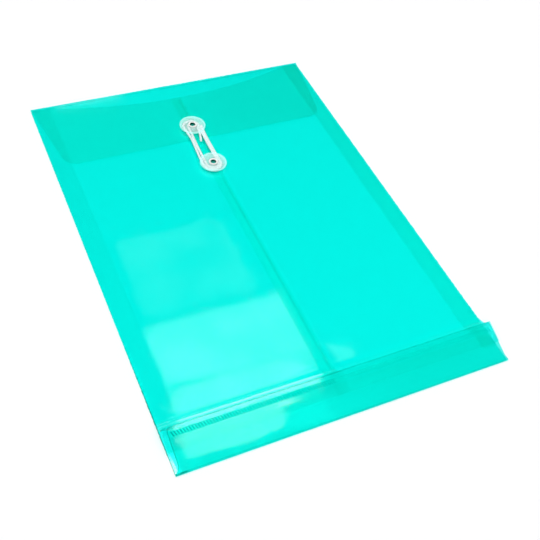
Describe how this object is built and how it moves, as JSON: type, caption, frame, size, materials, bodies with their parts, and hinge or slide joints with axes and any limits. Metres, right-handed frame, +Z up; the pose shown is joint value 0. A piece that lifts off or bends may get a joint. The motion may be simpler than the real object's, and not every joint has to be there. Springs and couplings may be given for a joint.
{
  "type": "string tie envelope",
  "caption": "Clear tinted film envelope with a folded closing flap, side gussets and a welded bottom flap, closed by a string wound under button discs.",
  "frame": {"origin": "centre of the front panel's underside, which lies on the table", "axes": "+X across the envelope, +Y towards the closing flap's crease, +Z up"},
  "size_m": [0.25, 0.358, 0.0109],
  "materials": {
    "film": "clear turquoise polypropylene film, glossy with faint scuffs",
    "disc": "frosted translucent white moulded plastic",
    "eyelet": "white lacquered rolled metal",
    "string": "white twisted polyester string"
  },
  "bodies": {
    "front_panel": {"front_panel": "film", "flap_fold": "film", "bottom_fold": "film", "left_gusset_foot": "film", "right_gusset_foot": "film"},
    "flap": {"closing_flap": "film", "upper_eyelet": "eyelet", "tie_string": "string"},
    "upper_disc": {"upper_disc": "disc"},
    "bottom_flap": {"bottom_flap": "film", "tail_left": "film", "tail_right": "film"},
    "back_panel": {"back_panel_left": "film", "back_panel_right": "film", "back_rise_left": "film", "back_rise_right": "film", "lower_eyelet": "eyelet"},
    "lower_disc": {"lower_disc": "disc"},
    "left_gusset_front": {"left_gusset_front": "film", "left_gusset_front_flare": "film"},
    "left_gusset_back": {"left_gusset_back": "film", "left_gusset_back_flare": "film"},
    "right_gusset_front": {"right_gusset_front": "film", "right_gusset_front_flare": "film"},
    "right_gusset_back": {"right_gusset_back": "film", "right_gusset_back_flare": "film"}
  },
  "joints": [
    {"name": "flap_hinge", "type": "hinge", "parent": "front_panel", "child": "flap", "pos_m": [0, 0.1779, 0.0011], "axis": [-1, 0, 0], "range_deg": [0, 170], "deforming": ["flap_fold", "tie_string"]},
    {"name": "upper_disc_spin", "type": "hinge", "parent": "flap", "child": "upper_disc", "pos_m": [-0.0018, 0.119, 0.00475], "axis": [0, 0, 1], "continuous": true},
    {"name": "bottom_hinge", "type": "hinge", "parent": "front_panel", "child": "bottom_flap", "pos_m": [0, -0.1779, 0.0011], "axis": [1, 0, 0], "range_deg": [0, 20.4], "deforming": ["bottom_fold", "left_gusset_foot", "right_gusset_foot"]},
    {"name": "ridge_hinge", "type": "hinge", "parent": "bottom_flap", "child": "back_panel", "pos_m": [0, -0.15047, 0.01054], "axis": [1, 0, 0], "range_deg": [-20.4, 0]},
    {"name": "lower_disc_spin", "type": "hinge", "parent": "back_panel", "child": "lower_disc", "pos_m": [-0.0018, 0.0708, 0.00475], "axis": [0, 0, 1], "continuous": true},
    {"name": "left_edge_crease", "type": "hinge", "parent": "front_panel", "child": "left_gusset_front", "pos_m": [-0.125, 0.03, 0.00045], "axis": [0, -1, 0], "range_deg": [0, 17.25], "deforming": ["left_gusset_front_flare"]},
    {"name": "left_inner_crease", "type": "hinge", "parent": "left_gusset_front", "child": "left_gusset_back", "pos_m": [-0.11, 0.03, 0.00063], "axis": [0, 1, 0], "range_deg": [0, 34.51], "deforming": ["left_gusset_back_flare"]},
    {"name": "right_edge_crease", "type": "hinge", "parent": "front_panel", "child": "right_gusset_front", "pos_m": [0.125, 0.03, 0.00045], "axis": [0, 1, 0], "range_deg": [0, 17.25], "deforming": ["right_gusset_front_flare"]},
    {"name": "right_inner_crease", "type": "hinge", "parent": "right_gusset_front", "child": "right_gusset_back", "pos_m": [0.11, 0.03, 0.00063], "axis": [0, -1, 0], "range_deg": [0, 34.51], "deforming": ["right_gusset_back_flare"]}
  ],
  "couplings": [
    {"joint": "bottom_hinge", "follows": "flap_hinge", "ratio": 0.12},
    {"joint": "ridge_hinge", "follows": "flap_hinge", "ratio": -0.12},
    {"joint": "left_edge_crease", "follows": "flap_hinge", "ratio": 0.1015},
    {"joint": "left_inner_crease", "follows": "flap_hinge", "ratio": 0.203},
    {"joint": "right_edge_crease", "follows": "flap_hinge", "ratio": 0.1015},
    {"joint": "right_inner_crease", "follows": "flap_hinge", "ratio": 0.203}
  ]
}
